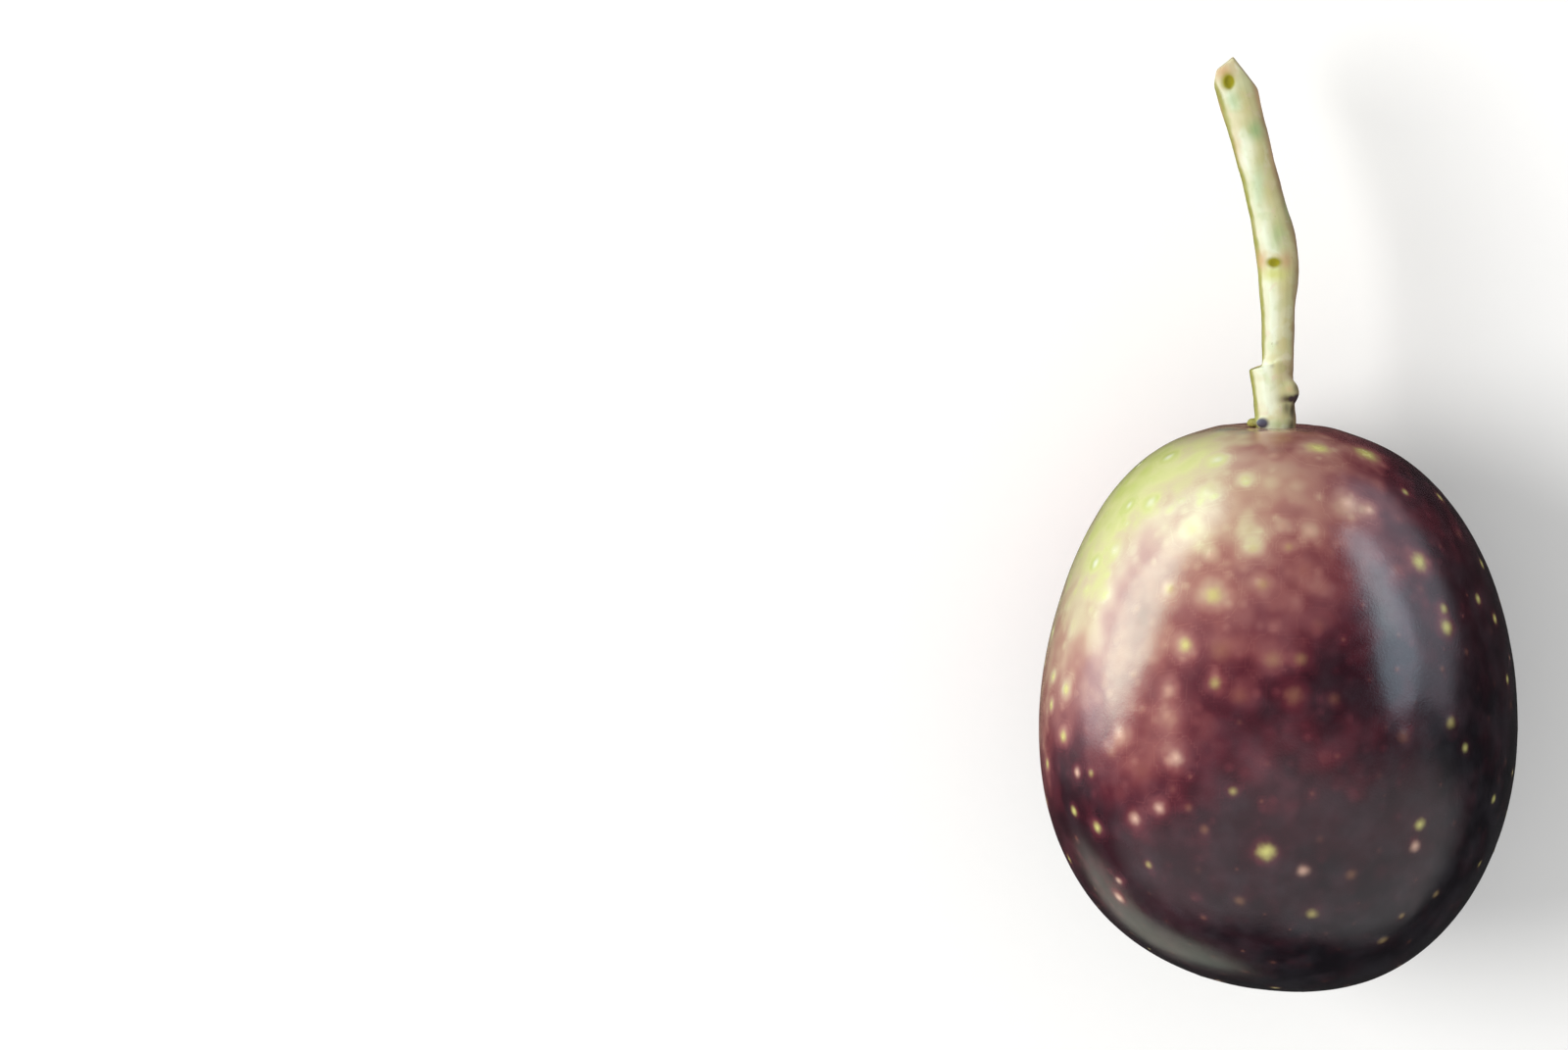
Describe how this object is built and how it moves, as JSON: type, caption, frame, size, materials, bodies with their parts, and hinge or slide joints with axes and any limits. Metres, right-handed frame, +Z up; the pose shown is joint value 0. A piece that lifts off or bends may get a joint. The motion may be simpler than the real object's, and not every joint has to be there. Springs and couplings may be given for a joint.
{
  "type": "olive",
  "caption": "Ripening olive with its long stalk, picked and lying on its side: an egg-shaped fruit with full shoulders round a shallow dimple, resting on a small flat spot.",
  "frame": {"origin": "centre of the small flat spot that the lying fruit rests on", "axes": "+Z up from the surface, +Y along the olive from its apex towards the cut end of its stalk, +X to the right as seen from above with the stalk away from the viewer"},
  "size_m": [0.0199, 0.0389, 0.0198],
  "materials": {
    "skin": "waxy satin gloss, ripening from green through maroon to near black, with pale dots",
    "stalk": "matte, pale green fresh wood"
  },
  "bodies": {
    "root": {"fruit": "skin", "stem": "stalk"}
  },
  "joints": []
}
